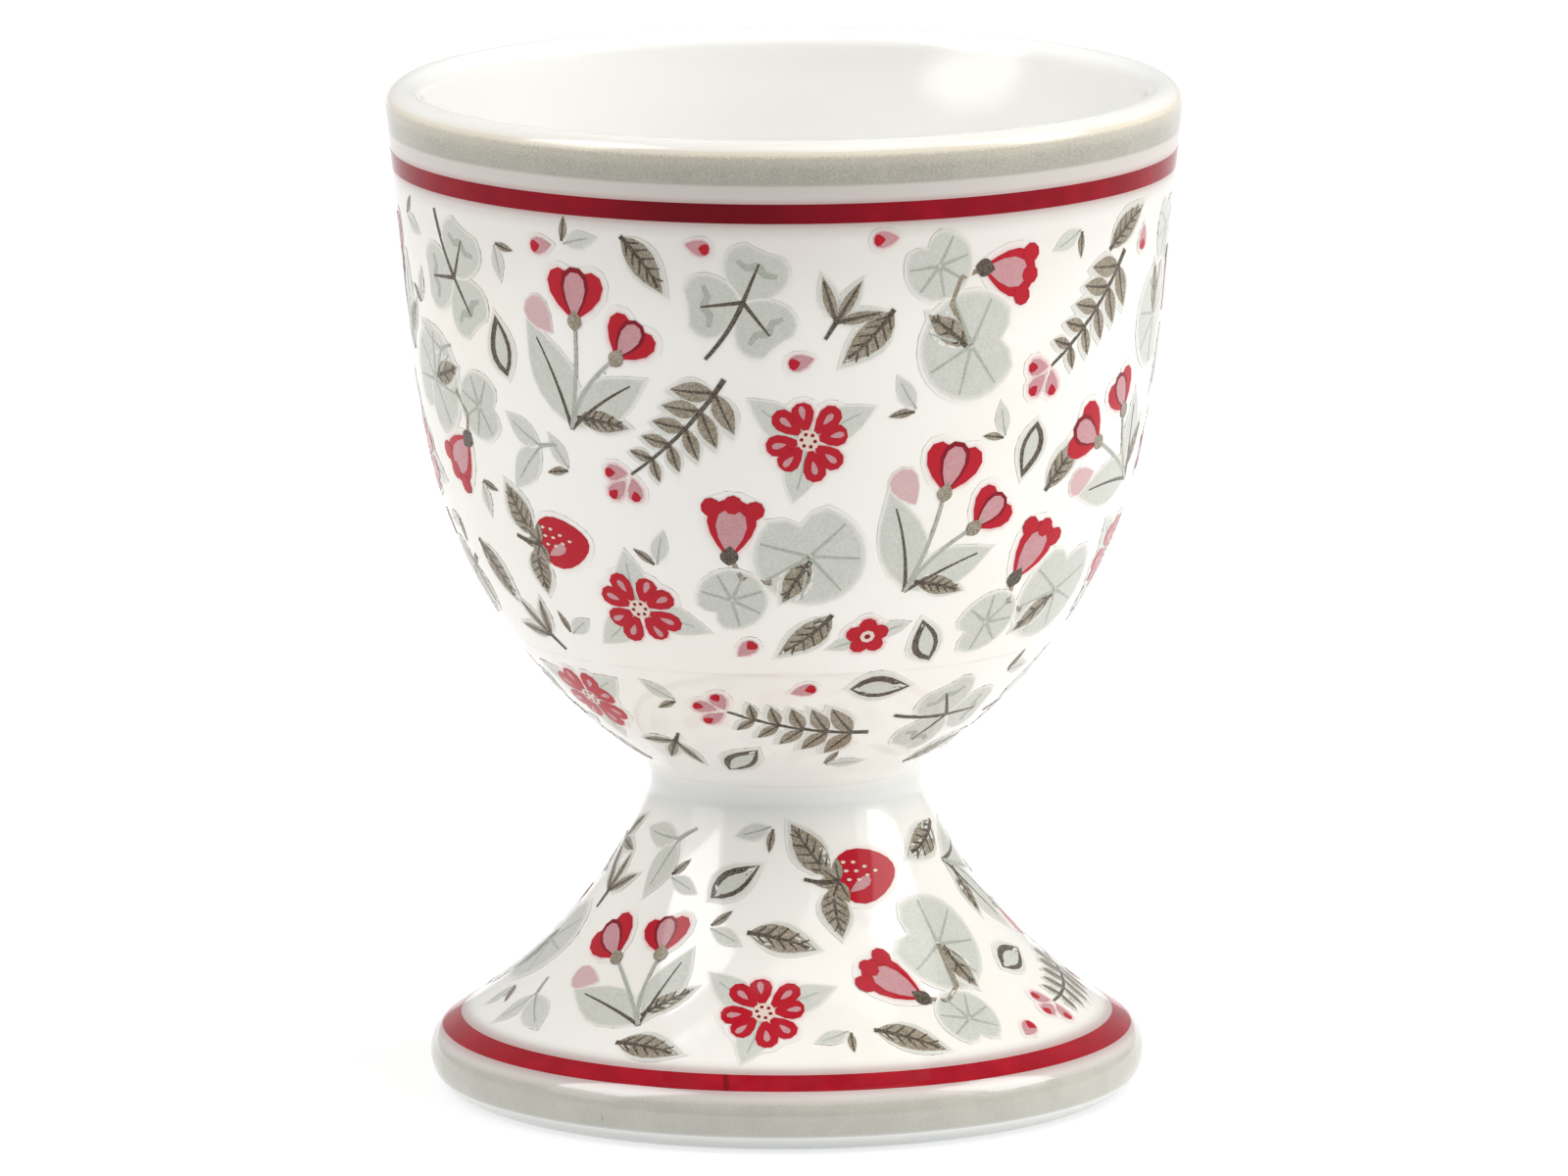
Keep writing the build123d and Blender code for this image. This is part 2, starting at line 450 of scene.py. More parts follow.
def outside_tone(place):
    """Colour of the glaze outside: white with clouds, faint creases, a pool partly of painted shade, and
    painted shade by the bands, the lines and the foot's edge.
    """
    height = parts_of(place)["Z"]
    line_low, _ = heights("rim_line")
    _, line_high = heights("foot_line")
    band_low, band_high = heights("rim_band")
    foot_low, foot_high = heights("foot_band")
    tone = mixed(rise(noise(place, cloud_size), 0.4, 0.75), glaze_white, glaze_cream)

    def tinted(share, colour, *reach):
        return mixed(product(between(height, *reach), share), tone, colour)

    # Painted shade: grey-brown over the rim band, the rim line and the glaze between them, fading out 9
    # mm below the line, and over the foot band and foot line.
    tone = tinted(0.40, shade_and_seam_grey, line_low - rim_wide_shade, line_low, band_low, band_high)
    tone = tinted(1.0, shade_and_seam_grey, line_low - rim_near_shade, line_low, band_low, band_high)
    tone = tinted(0.9, shade_and_seam_grey, foot_low, foot_high, line_high, line_high + foot_gap_shade)
    for node in ("rim_line", "foot_line"):
        low, high = heights(node)
        tone = tinted(0.7, line_blush, low - blush_reach, low, high, high + blush_reach)
    lip_low = band_high - 0.2 * mm
    tone = tinted(0.4, band_cream, band_low, lip_low, band_high - 0.1 * mm, band_high + 0.35 * mm)
    worn = rise(noise(place, wear_size), 0.35, 0.65, 0.02, 0.26)
    for edge in (sheet_edge, waist_height):
        low = edge - 0.04 * mm
        high = edge + 0.04 * mm
        tone = tinted(worn, shade_and_seam_grey, edge - crease_half, low, high, edge + crease_half)
    # Painted shade under the bowl, mixed with glaze that gathers: blue-grey just below the joint.
    low = waist_height - pool_and_shade_depth
    tone = tinted(1.0, glaze_pool_and_shade, low, low + 2.5 * mm, waist_height - 0.8 * mm, waist_height + pool_and_shade_top)
    # Painted shade: the glaze turns grey towards the bottom of the foot's edge, where it faces the
    # table.
    return mixed(rise(height, edge_shade_from, edge_shade_to, 1.0, 0.0), tone, foot_edge_shade)


white_glaze, surface, place = new_glazed("white_glaze")
skin = add_node("ShaderNodeNewGeometry")["Normal"]
level = add_node("ShaderNodeVectorMath", {0: place, 1: (1, 1, 0)}, operation="MULTIPLY")
outward = add_node("ShaderNodeVectorMath", {0: level[0], 1: skin}, operation="DOT_PRODUCT")
faces_out = rise(outward["Value"], 0.0, 0.5 * mm)
tone = mixed(faces_out, hollow_white, outside_tone(place))
cells = add_node("ShaderNodeTexVoronoi", {"Vector": place, "Scale": 1 / speck_spacing})
specks = rise(cells["Distance"], 0.006, 0.012, 0.8, 0.0)
drive(surface, "Base Color", mixed(specks, tone, speck_brown))

outside = outside_line()
clay_outside = outside_line(glaze_thickness)
clay_side = hollow_line(glaze_thickness)[::-2] + clay_outside[-3:0:-2] + clay_outside[:1]
cup_loop = clay_side + outside + hollow_line()[1:]
wears(turn("cup_glaze", cup_loop, white_glaze), "white_glaze", "body_glaze")

# Glaze in the hollow foot
# The same dip runs up inside the foot, over the underside of the bowl. Wiping the ring bare before
# the firing parts it from the coat outside.
foot_wall = 3.0 * mm
dry_ring_width = 1.4 * mm
dry_ring_round = 0.5 * mm
luting_thickness = 0.6 * mm
ring_inner = ring_outer - dry_ring_width


def foot_well_line(inset):
    """Points from under the bowl down inside the foot to the dry ring."""
    ceiling = waist_height + luting_thickness / 2 - glaze_thickness + inset
    wall_radius = flare_radius + foot_wall - inset
    ring_side = ring_inner - dry_ring_round + inset
    ceiling_reach = flare_center.x - sqrt(wall_radius**2 - (flare_center.y - ceiling) ** 2)
    ring_rise = flare_center.y - sqrt(wall_radius**2 - (flare_center.x - ring_side) ** 2)
    corner = Vector((ceiling_reach, ceiling))
    side_top = Vector((ring_side, ring_rise))
    side_low = Vector((ring_side, dry_ring_round))
    ring_center = Vector((ring_inner, dry_ring_round))
    line = [Vector((0, ceiling))]
    line += straight(line[0], corner, wide_pitch)
    line += arc(flare_center, corner, side_top, wide_pitch)
    line += straight(side_top, side_low, wide_pitch)
    return line + arc(ring_center, side_low, Vector((ring_inner, inset)), tight_pitch)


well_loop = foot_well_line(0) + foot_well_line(glaze_thickness)[::-1]
wears(turn("foot_hollow_glaze", well_loop, white_glaze), "white_glaze", "foot_well_glaze")

# Grey bands
# A band of stippled beige-grey colour is laid under the lip and round the foot's edge with the cup
# turning on a wheel. The colour sinks into the glaze, and its edges stay a little soft.
rim_grey = (0.345, 0.332, 0.280, 1.0)
foot_grey = (0.450, 0.440, 0.385, 1.0)
band_grain = 0.11 * mm
band_clouds = 2.5 * mm
thin_reach = 1.3 * mm
hair_core = 0.03 * mm
hair_edge = 0.12 * mm
print_sink = 0.02 * mm
band_rise = 0.010 * mm


def stretch_outside(low, high, lift):
    """Points of the outside between two heights, lifted off it, with level ends."""
    inner = [p for p in outside if low < p.y < high]
    ends = []
    for level in (low, high):
        for a, b in zip(outside, outside[1:]):
            if a.y <= level < b.y:
                ends.append(a.lerp(b, (level - a.y) / (b.y - a.y)))
                break
    line = [ends[0], *inner, ends[1]]
    lifted = []
    for i, point in enumerate(line):
        ahead = line[min(i + 1, len(line) - 1)] - line[max(i - 1, 0)]
        lifted.append(point + Vector((ahead.y, -ahead.x)).normalized() * lift)
    return lifted


def printed_ring(name, node, slot, finish, lift):
    """Thin ring of colour in the place of a node, a hair proud of the glaze."""
    low, high = heights(node)
    top = stretch_outside(low, high, lift)
    loop = top + stretch_outside(low, high, -print_sink)[::-1] + top[:1]
    wears(turn(name, loop, finish), slot, node)


def on_front(spot, strength=1.0):
    """Strength of a mark that only the front of the cup has: the hair mark, the foot line's lap and the
    rim line's painted shade.
    """
    return rise(spot["Y"], -10 * mm, -5 * mm, strength, 0.0)


def band_finish(name, node, grey, under_low, under_high, soft_low, soft_high, thinned, mark):
    """Stippled grey that fades at its edges into the glaze's colours there, painted shade among them,
    with one hair mark.
    """
    low, high = heights(node)
    finish, surface, place = new_glazed(name)
    spot = parts_of(place)
    grain = noise(place, band_grain, 2.0)
    cloud = rise(noise(place, band_clouds), 0.35, 0.7)
    pale = tuple(part * 1.10 for part in grey)
    under = mixed(rise(spot["Z"], low, high), under_low, under_high)
    thin = rise(spot["Z"], high - thin_reach, high, 0.0, thinned)
    colour = mixed(thin, mixed(cloud, grey, pale), under_high)
    hair = between(spot["X"], mark - hair_edge, mark - hair_core, mark + hair_core, mark + hair_edge)
    hair = product(hair, on_front(spot, 0.5))
    short = between(spot["Z"], low + 0.4 * mm, low + 0.6 * mm, low + 0.7 * mm, low + 1.2 * mm)
    colour = mixed(product(hair, short), colour, speck_brown)
    level = sum_of(spot["Z"], product(grain, 0.3 * mm))
    low += 0.1 * mm
    high += 0.15 * mm
    stipple = rise(grain, 0.35, 0.65, 1.0, 0.66)
    cover = product(between(level, low, low + soft_low, high - soft_high, high), stipple)
    drive(surface, "Base Color", mixed(rise(cover, 0.1, 1.0), under, colour))
    return finish


# Under the rim band's lower edge the colour is the painted shade by the rim line; at its top it is
# cream.
rim_stipple = band_finish(
    "rim_grey", "rim_band", rim_grey, shade_and_seam_grey, band_cream, 0.35 * mm, 0.5 * mm, 0.45, -5.9 * mm
)
# Under the foot band the colours are painted shade: the grey of the foot's edge below it, the grey-brown
# by the foot line above it.
foot_stipple = band_finish(
    "foot_grey", "foot_band", foot_grey, foot_edge_shade, shade_and_seam_grey, 0.25 * mm, 0.30 * mm, 0.0, -11.7 * mm
)
printed_ring("rim_band_colour", "rim_band", "grey_band", rim_stipple, band_rise)
printed_ring("foot_band_colour", "foot_band", "grey_band", foot_stipple, band_rise)

# Red lines
# A fine brush line of dark red runs below the grey band of the rim and above that of the foot.
# It is laid thicker than the grey, so its edges are crisp and its colour nearly even.
# The rim line's red is the same red as the foot line's, made darker as painted shade for the shade round
# the rim.
rim_red = (0.240, 0.004, 0.013, 1.0)
foot_red = (0.320, 0.005, 0.015, 1.0)
stroke_clouds = 2.0 * mm
line_rise = 0.014 * mm


def red_finish(name, red, lap_and_shade_at, reach):
    """Brushed red, thinner in places and darker about one place on the front: a short lap of the stroke
    on the foot line, a wide stretch of painted shade on the rim line.
    """
    finish, surface, place = new_glazed(name, 0.08)
    thin = tuple(part * 1.25 for part in red)
    lap_and_shade_red = tuple(part * 0.62 for part in red)
    strokes = rise(noise(place, stroke_clouds), 0.35, 0.75)
    spot = parts_of(place)
    lap_and_shade = between(spot["X"], lap_and_shade_at - reach, lap_and_shade_at, lap_and_shade_at + 0.2 * reach, lap_and_shade_at + 1.5 * reach)
    lap_and_shade = product(lap_and_shade, on_front(spot))
    drive(surface, "Base Color", mixed(lap_and_shade, mixed(strokes, red, thin), lap_and_shade_red))
    return finish


# On the rim line the wide darker stretch across the front is painted shade.
rim_stroke = red_finish("rim_red", rim_red, -6.0 * mm, 9 * mm)
foot_stroke = red_finish("foot_red", foot_red, -3.9 * mm, 0.25 * mm)
printed_ring("rim_line_colour", "rim_line", "red_line", rim_stroke, line_rise)
printed_ring("foot_line_colour", "foot_line", "red_line", foot_stroke, line_rise)

# Printed sheets
# Flowers, berries and leaves are screen printed on transfer paper, one ink after another, and slid
# wet onto the glazed cup: one sheet round the wall, one under it down to the waist, one on the foot.
red_ink = (0.455, 0.009, 0.022, 0.00)  # the fourth part is how far an ink breaks up into dots
deep_red_ink = (0.230, 0.004, 0.014, 0.00)
pink_ink = (0.520, 0.245, 0.268, 0.15)
cream_ink = (0.740, 0.600, 0.520, 0.10)
bleed_ink = (0.660, 0.330, 0.350, 0.20)
sage_ink = (0.530, 0.545, 0.492, 0.30)
shade_ink = (0.350, 0.370, 0.320, 0.30)
olive_ink = (0.215, 0.172, 0.108, 0.32)
taupe_ink = (0.060, 0.042, 0.024, 0.15)
bleed_layer, wash_layer, vein_layer, petal_layer, light_layer, detail_layer = range(6)
ink_rise = 0.030  # height of the first ink over the glaze, in the motifs' millimetres
ink_step = 0.009  # further height of each ink laid over another
ink_depth = 0.02
bleed_width = 0.32  # red runs this far into the glaze about it
cell_size = 0.7  # squares by which motifs are kept clear of each other
motif_gap = 0.5 * mm
tries = 110
dot_size = 0.14 * mm
patch_width = 0.8 * mm
crisp_edge = ((1.0, 1.0), (0.5, 1.0))  # share of the outline, share of the ink
soft_edge = ((1.0, 0.0), (0.93, 0.65), (0.85, 1.0), (0.65, 1.0), (0.45, 1.0), (0.22, 1.0))
bleed_edge = ((1.0, 0.0), (0.85, 0.35), (0.7, 1.0))


class Motif:
    """Flat drawing in millimetres, of thin closed slabs with a colour and a strength."""

    def __init__(self, draw):
        self.points = []
        self.faces = []
        self.inks = []
        self.strengths = []
        draw(self)

    def add(self, points, faces, ink, strengths):
        base = len(self.points)
        self.points += points
        self.faces += [[base + corner for corner in face] for face in faces]
        self.inks += [ink] * len(points)
        self.strengths += strengths

    def fill(self, outline, ink, layer, strength=1.0, edge=crisp_edge):
        """Filled shape, with a crisp or a fading edge, on a layer of ink."""
        count = len(outline)
        middle = sum(outline, Vector((0, 0))) / count
        area = sum(a.cross(b) for a, b in zip(outline, outline[1:] + outline[:1]))
        if area < 0:
            outline = outline[::-1]
        top = ink_rise + ink_step * layer
        points = []
        strengths = []
        for share, part in edge:
            points += [(*middle.lerp(point, share), top) for point in outline]
            strengths += [strength * part] * count
        points += [(*point, -ink_depth) for point in outline]
        points += [(*middle, top), (*middle, -ink_depth)]
        strengths += [0.0] * count + [strength * edge[-1][1], 0.0]
        low = len(edge) * count
        faces = []
        for i in range(count):
            j = (i + 1) % count
            for ring in range(len(edge) - 1):
                outer = ring * count
                faces.append([outer + i, outer + j, outer + count + j, outer + count + i])
            faces.append([low - count + i, low - count + j, low + count])
            faces.append([low + i, low + j, j, i])
            faces.append([low + j, low + i, low + count + 1])
        self.add(points, faces, ink, strengths)

    def bloom(self, outline, ink):
        """Crisp shape with a soft blush round it where the red has run."""
        middle = sum(outline, Vector((0, 0))) / len(outline)
        swollen = [point + (point - middle).normalized() * bleed_width for point in outline]
        self.fill(swollen, bleed_ink, bleed_layer, 0.6, bleed_edge)
        self.fill(outline, ink, petal_layer)

    def wash(self, outline, strength=1.0, ink=sage_ink, layer=wash_layer):
        """Flat soft tint."""
        self.fill(outline, ink, layer, strength, soft_edge)

    def stroke(self, path, wide, narrow, ink=taupe_ink, layer=vein_layer):
        """Line along a path that tapers from one width to another."""
        top = ink_rise + ink_step * layer
        last = len(path) - 1
        points = []
        faces = []
        strengths = []
        for i, point in enumerate(path):
            ahead = path[min(i + 1, last)] - path[max(i - 1, 0)]
            width = wide + (narrow - wide) * i / last
            beside = Vector((-ahead.y, ahead.x)).normalized() * width / 2
            points += [(*(point + beside), top), (*(point - beside), top)]
            points += [(*(point + beside), -ink_depth), (*(point - beside), -ink_depth)]
            strengths += [1.0, 1.0, 0.0, 0.0]
        for i in range(last):
            a = 4 * i
            b = a + 4
            faces += [[a, a + 1, b + 1, b], [a + 2, b + 2, b + 3, a + 3]]
            faces += [[a, b, b + 2, a + 2], [a + 1, a + 3, b + 3, b + 1]]
        end = 4 * last
        faces += [[0, 2, 3, 1], [end, end + 1, end + 3, end + 2]]
        self.add(points, faces, ink, strengths)

    def mesh(self, name):
        made = bpy.data.meshes.new(name)
        made.from_pydata([Vector(p) * mm for p in self.points], [], self.faces)
        inks = made.attributes.new("ink", "FLOAT_COLOR", "POINT")
        inks.data.foreach_set("color", [part for ink in self.inks for part in ink])
        strengths = made.attributes.new("strength", "FLOAT", "POINT")
        strengths.data.foreach_set("value", self.strengths)
        return made

    def cells(self):
        """Middles in metres of the small squares that the drawing touches."""
        touched = {(round(x / cell_size), round(y / cell_size)) for x, y, _ in self.points}
        return [Vector(cell) * cell_size * mm for cell in sorted(touched)]


def turns_of(count, start=0.0):
    """Angles of a whole turn in equal steps."""
    return [tau * (i + start) / count for i in range(count)]


def placed(points, angle, at=(0, 0)):
    """Points turned by degrees, clockwise from +Y, and moved."""
    turn_by = Matrix.Rotation(-radians(angle), 2)
    return [turn_by @ point + Vector(at) for point in points]


def disc(radius, at=(0, 0), corners=12):
    return [Vector(at) + Vector((cos(t), sin(t))) * radius for t in turns_of(corners)]


def petal(length, width, angle, at=(0, 0), corners=12):
    """Outline that grows from a point and is widest past its middle."""
    points = []
    for t in turns_of(corners, 0.5):
        points.append(Vector((width * 0.65 * sin(t) * sin(t / 2), length * (1 - cos(t)) / 2)))
    return placed(points, angle, at)


def leaf(length, width, angle, at=(0, 0), bend=0.0, steps=6):
    """Outline with two pointed ends, bent sideways towards its tip."""
    shares = [i / steps for i in range(steps + 1)]
    right = [Vector((width / 2 * sin(pi * s**0.85) + bend * s * s, length * s)) for s in shares]
    left = [Vector((-width / 2 * sin(pi * s**0.85) + bend * s * s, length * s)) for s in shares]
    return placed(right + left[-2:0:-1], angle, at)


def rib(length, angle, at=(0, 0), bend=0.0, steps=8, share=0.9):
    """Path up the middle of a leaf of that length and bend."""
    shares = [share * i / steps for i in range(steps + 1)]
    return placed([Vector((bend * s * s, length * s)) for s in shares], angle, at)


def aside(distance, angle, at=(0, 0)):
    """Point at a distance and in a direction from another."""
    return placed([Vector((0, distance))], angle, at)[0]


def brown_leaf(motif, length, width, angle, at, bend, wide, narrow=0.08):
    """Olive leaf with a dark midrib."""
    motif.fill(leaf(length, width, angle, at, bend), olive_ink, wash_layer + 0.5)
    motif.stroke(rib(length, angle, at, bend), wide, narrow)


def veined_leaf(motif, length, width, angle, at, bend, veins=5):
    """Olive leaf over its pale shadow, with pairs of side veins."""
    motif.wash(leaf(length * 1.12, width * 1.35, angle, at, bend), 0.8)
    brown_leaf(motif, length, width, angle, at, bend, 0.22, 0.10)
    for i in range(veins):
        share = 0.12 + 0.62 * i / (veins - 1)
        root = Vector((bend * share * share, length * share))
        spread = width * 0.42 * sin(pi * (share + 0.1)**0.85)
        for side in (-1, 1):
            tip = root + Vector((side * spread, length * 0.14))
            motif.stroke(placed([root, root.lerp(tip, 0.5), tip], angle, at), 0.13, 0.07)


def soft_leaf(motif, length, width, angle, at, bend):
    """Plain sage leaf with a faint midrib."""
    motif.wash(leaf(length, width, angle, at, bend), 0.9)
    motif.stroke(rib(length, angle, at, bend, share=0.75), 0.13, 0.07, shade_ink)


def daisy(motif):
    """Open flower of eight red petals over three sage leaves."""
    for angle, length in ((22, 4.1), (150, 3.7), (263, 4.0)):
        soft_leaf(motif, length, 2.0, angle, (0, 0), 0.3)
    for i in range(8):
        angle = 45 * i + (4, -3, 2, -5)[i % 4]
        length = (1.95, 1.7, 1.85)[i % 3]
        motif.bloom(petal(length, 1.22, angle, aside(0.42, angle)), red_ink)
        motif.fill(petal(0.8, 0.36, angle, aside(1.15, angle), 8), pink_ink, light_layer)
    motif.fill(disc(0.6), cream_ink, light_layer)
    for i in range(6):
        motif.fill(disc(0.11, aside(0.36, 60 * i), 6), deep_red_ink, detail_layer)


def clover(motif):
    """Three heart-shaped leaflets with a chevron and a midrib, on a curved stem."""
    for i, angle in enumerate((0, 120, 240)):
        turns = turns_of(18, 0.5)
        round_leaf = [Vector((1.5 * sin(t) * (1 - 0.22 * cos(t)), 1.4 - 1.35 * cos(t))) for t in turns]
        notch = [0.5 * max(0.0, 1 - abs(p.x) / 0.6) * (p.y > 1.9) for p in round_leaf]
        heart = [p - Vector((0, depth)) for p, depth in zip(round_leaf, notch)]
        motif.wash(placed(heart, angle), 1.0, sage_ink, wash_layer + 0.2 * i)
        for side in (-1, 1):
            chevron = [Vector((0, 1.75)), Vector((side * 0.45, 1.5)), Vector((side * 0.95, 1.65))]
            motif.stroke(placed(chevron, angle), 0.42, 0.2, shade_ink)
        motif.stroke(rib(2.1, angle), 0.2, 0.09, layer=vein_layer + 0.5)
    motif.stroke(rib(3.4, 180, (0, 0), 0.7), 0.24, 0.16)


def tulip_head(motif, at, angle, size):
    """Flower of two red petals behind a pink one with a red edge."""
    for lean in (-26, 26):
        motif.bloom(petal(2.5 * size, 1.35 * size, angle + lean, at), red_ink)
    motif.fill(petal(2.45 * size, 1.5 * size, angle, at), deep_red_ink, petal_layer + 0.5)
    inner = petal(2.1 * size, 1.1 * size, angle, aside(0.12, angle, at))
    motif.fill(inner, pink_ink, light_layer)
    motif.fill(leaf(1.0, 0.75, angle, aside(-0.5, angle, at)), olive_ink, detail_layer)


def tulips(motif):
    """Two tulips on thin stems between two broad sage leaves."""
    foot = Vector((0, -3.7))
    motif.wash(leaf(5.4, 2.5, -26, foot, -1.0))
    motif.wash(leaf(4.7, 2.3, 34, foot, 0.9), 1.0, sage_ink, wash_layer + 0.2)
    motif.wash(petal(2.1, 1.5, -52, (-1.6, 0.3)), 0.75, pink_ink)
    motif.stroke(rib(5.4, -26, foot, -1.0, share=0.8), 0.2, 0.08)
    motif.stroke(rib(4.7, 34, foot, 0.9, share=0.8), 0.2, 0.08)
    veined_leaf(motif, 2.6, 1.0, 78, foot + Vector((0.2, 0.6)), 0.3)
    for head, angle, size, bend in (((-0.55, 1.3), -8, 1.0, -0.55), ((1.75, 0.2), 24, 0.85, 1.75)):
        stem = rib(head[1] - foot.y, 0, foot, bend, share=1.0)
        motif.stroke(stem, 0.22, 0.16, shade_ink, vein_layer + 0.4)
        tulip_head(motif, Vector(head), angle, size)


def strawberry(motif):
    """Pointed red berry with pale seeds under a crown, beside two veined leaves."""
    veined_leaf(motif, 3.3, 1.7, 66, (0.35, 1.25), 0.25)
    veined_leaf(motif, 2.9, 1.5, -74, (-0.25, 1.35), -0.25)
    turns = turns_of(18, 0.5)
    berry = [Vector((1.5 * sin(t) * (1 + 0.28 * cos(t)), -0.75 + 1.85 * cos(t))) for t in turns]
    motif.bloom(berry, red_ink)
    motif.fill(petal(1.5, 0.62, 160, (-0.72, 0.5), 10), pink_ink, light_layer)
    for i, count in enumerate((3, 3, 2, 1)):
        for k in range(count):
            seed = (0.42 + 0.5 * (k - (count - 1) / 2) - 0.12 * i, 0.15 - 0.55 * i)
            motif.fill(petal(0.3, 0.19, 10, seed, 6), cream_ink, detail_layer)
    for angle in (-100, -52, 0, 52, 100):
        motif.fill(leaf(1.3, 0.62, angle, (0, 0.9), 0.1, 5), olive_ink, light_layer + 0.5)
        motif.stroke(rib(1.1, angle, (0, 0.9)), 0.16, 0.08, layer=detail_layer)
    motif.stroke(rib(1.9, 0, (0, 0.95), 0.55), 0.26, 0.18, layer=detail_layer)


def spray(motif):
    """Curved twig with paired olive leaflets and three pink buds."""
    foot = Vector((-0.6, -3.8))
    length = 6.6
    bend = 1.3
    for i in range(5):
        share = 0.12 + 0.17 * i
        root = foot + Vector((bend * share * share, length * share))
        for side in (-1, 1):
            size = 2.15 - 0.24 * i
            angle = side * 54 + 16 * share
            motif.wash(leaf(size * 1.15, size * 0.7, angle, root), 0.7)
            brown_leaf(motif, size, size * 0.46, angle, root, side * 0.15, 0.17)
    motif.stroke(rib(length, 0, foot, bend, 9, 1.0), 0.26, 0.13)
    tip = foot + Vector((bend, length))
    for angle, away in ((-42, 0.2), (58, 0.2), (10, 0.5)):
        bud = aside(away, angle, tip)
        motif.bloom(petal(1.15, 0.78, angle, bud, 10), pink_ink)
        motif.fill(petal(0.55, 0.5, angle, aside(0.62, angle, bud), 8), red_ink, light_layer)


def pad_leaf(motif, at, radius, angle):
    """Round sage leaf with a notch and veins that run out from its middle."""
    turns = turns_of(22)
    edges = [radius * (1 - 0.38 * max(0.0, 1 - min(t, tau - t) / 0.5)) for t in turns]
    motif.wash(placed([Vector((sin(t), cos(t))) * edge for t, edge in zip(turns, edges)], angle, at))
    for i in range(6):
        way = angle + 60 + 48 * i
        path = [aside(radius * share, way, at) for share in (0.05, 0.25, 0.45, 0.65, 0.85)]
        motif.stroke(path, 0.16, 0.08, shade_ink)


def bell(motif):
    """Pink bell flower with a red edge, hanging from a stem over two round leaves."""
    pad_leaf(motif, (-1.1, -0.7), 2.35, 150)
    pad_leaf(motif, (1.3, 2.1), 1.5, 30)
    stem = [Vector((-1.1, -0.7)), Vector((0.1, 0.9)), Vector((1.2, 1.0)), Vector((1.9, 0.2))]
    motif.stroke(stem, 0.24, 0.2, olive_ink)
    veined_leaf(motif, 2.2, 1.0, 20, (-1.2, -0.5), -0.2, 3)
    top = Vector((1.9, 0.3))
    motif.bloom(petal(2.6, 2.0, 168, top, 16), red_ink)
    motif.fill(petal(2.05, 1.25, 168, aside(0.15, 168, top), 12), pink_ink, light_layer)
    for lean in (-22, 0, 22):
        motif.fill(disc(0.4, aside(2.35, 168 + lean, top), 9), red_ink, detail_layer)
    motif.fill(leaf(0.9, 0.75, 168, aside(-0.3, 168, top)), taupe_ink, detail_layer)


def blossom(motif):
    """Tiny flower of five petals between two leaves."""
    soft_leaf(motif, 2.1, 1.0, 70, (0.2, 0), 0.15)
    soft_leaf(motif, 1.9, 0.9, -115, (-0.2, 0), 0.15)
    for i in range(5):
        motif.bloom(disc(0.46, aside(0.62, 72 * i), 9), red_ink)
    motif.fill(disc(0.36, corners=8), cream_ink, light_layer)
    motif.fill(disc(0.16, corners=6), deep_red_ink, detail_layer)


def lone_leaf(motif):
    """Single drifting leaf."""
    veined_leaf(motif, 3.1, 1.3, 0, (0, -1.5), 0.5)


def leaf_pair(motif):
    """Two plain sage leaves on one short stem."""
    soft_leaf(motif, 3.0, 1.5, -24, (0, -1.2), -0.3)
    soft_leaf(motif, 2.4, 1.2, 44, (0, -1.2), 0.3)
    motif.stroke(rib(1.1, 180, (0, -1.1), 0.2), 0.2, 0.12, shade_ink)


def rimmed_leaf(motif):
    """Sage leaf inside a thick, broken brown outline."""
    motif.wash(leaf(3.6, 2.2, 0, (0, -1.7), 0.4), 0.7)
    motif.fill(leaf(3.0, 1.5, 0, (0, -1.4), 0.4), taupe_ink, wash_layer + 0.5)
    motif.fill(leaf(2.2, 0.85, 2, (0.04, -1.05), 0.3), sage_ink, vein_layer)


def sprout(motif):
    """Fan of three narrow leaflets."""
    for angle in (-48, 0, 48):
        motif.wash(leaf(2.2, 0.9, angle, (0, -1.0)), 0.8)
        brown_leaf(motif, 2.0, 0.5, angle, (0, -1.0), 0.0, 0.18)
    motif.stroke(rib(0.9, 180, (0, -1.0)), 0.2, 0.14)


def fallen_leaf(motif):
    """Small sage leaf beside a smaller brown one."""
    soft_leaf(motif, 2.3, 1.1, 25, (0.1, -0.9), 0.2)
    brown_leaf(motif, 1.5, 0.5, -32, (-0.1, -0.9), -0.15, 0.16)


def fallen_petal(motif):
    """Single pink petal with a red tip."""
    motif.bloom(petal(1.7, 1.05, 0, (0, -0.9)), pink_ink)
    motif.fill(petal(0.75, 0.8, 0, (0, 0.0), 10), red_ink, light_layer)


motif_sizes = {
    tulips: 1.4, bell: 1.6, daisy: 1.2, strawberry: 1.2, spray: 1.4, clover: 1.5,
    leaf_pair: 1.5, lone_leaf: 1.5, rimmed_leaf: 1.3, sprout: 1.5, blossom: 1.3,
    fallen_leaf: 1.1, fallen_petal: 1.0
}
drawings = [Motif(draw) for draw in motif_sizes]
motif_box = bpy.data.collections.new("motifs")
for i, (draw, drawing) in enumerate(zip(motif_sizes, drawings)):
    label = f"motif_{i:02}_{draw.__name__}"
    motif_box.objects.link(bpy.data.objects.new(label, drawing.mesh(label)))

# Wrapping: each motif is laid on the outside at an angle about the axis and a length up the section
wrapping = bpy.data.node_groups.new("lay_transfer", "GeometryNodeTree")
given = add_sockets(wrapping, True, Outside="Object", Motifs="Collection", Finish="Material")


def carried(name, kind="FLOAT"):
    return add_node("GeometryNodeInputNamedAttribute", {"Name": name}, data_type=kind)["Attribute"]


